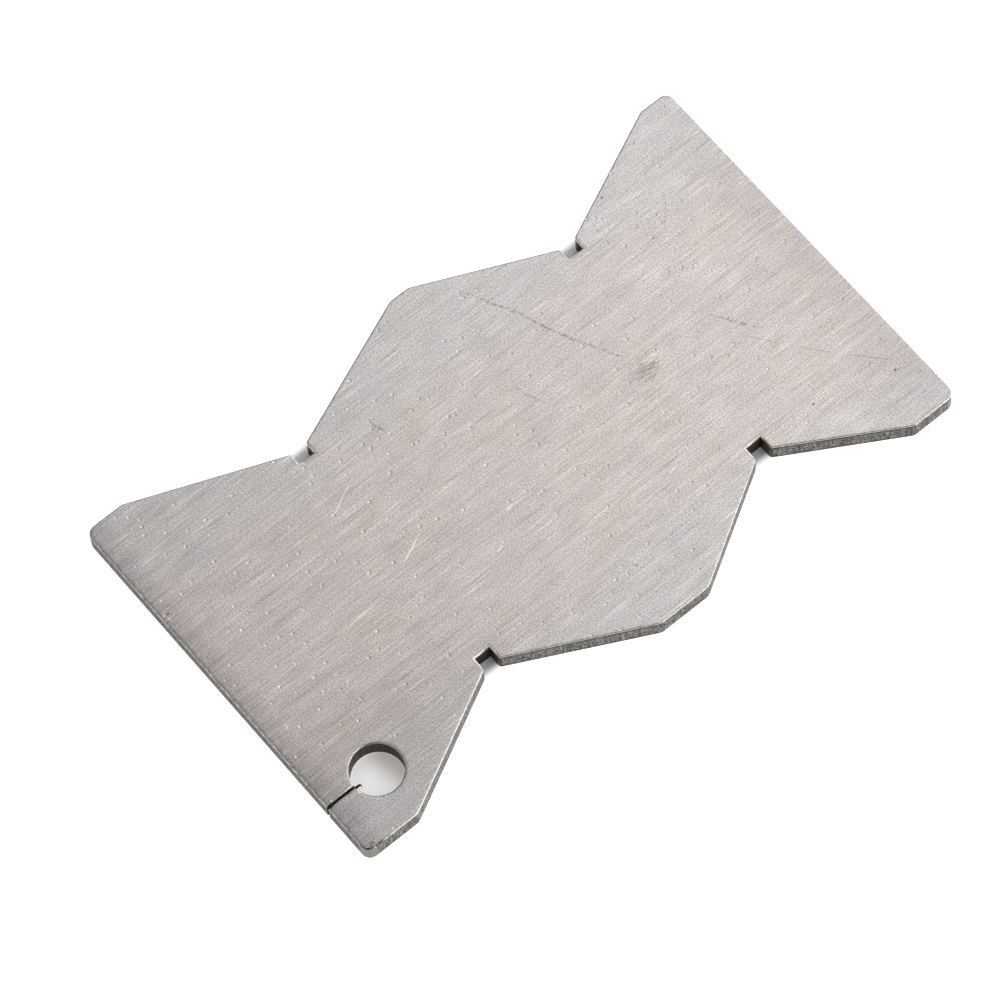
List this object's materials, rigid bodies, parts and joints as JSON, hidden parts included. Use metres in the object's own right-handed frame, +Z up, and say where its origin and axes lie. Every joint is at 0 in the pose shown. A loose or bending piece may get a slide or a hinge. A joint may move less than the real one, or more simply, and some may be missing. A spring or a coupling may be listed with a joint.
{
  "type": "centre gauge",
  "caption": "Flat stainless plate with V notches of set angles and relief slots in its long sides, held against a ground point to check its angle, with a hole to hang it by.",
  "frame": {"origin": "centre of the underside, midway between the ends and between the lands", "axes": "+X along the plate, away from the end with the hanging hole; +Y across it, towards the shallower notches; +Z up out of the upper face"},
  "size_m": [0.09, 0.0536, 0.003],
  "materials": {
    "brushed_stainless": "brushed along the length, with cut edges left dull and lightly deburred"
  },
  "bodies": {
    "root": {"gauge_plate": "brushed_stainless"}
  },
  "joints": []
}
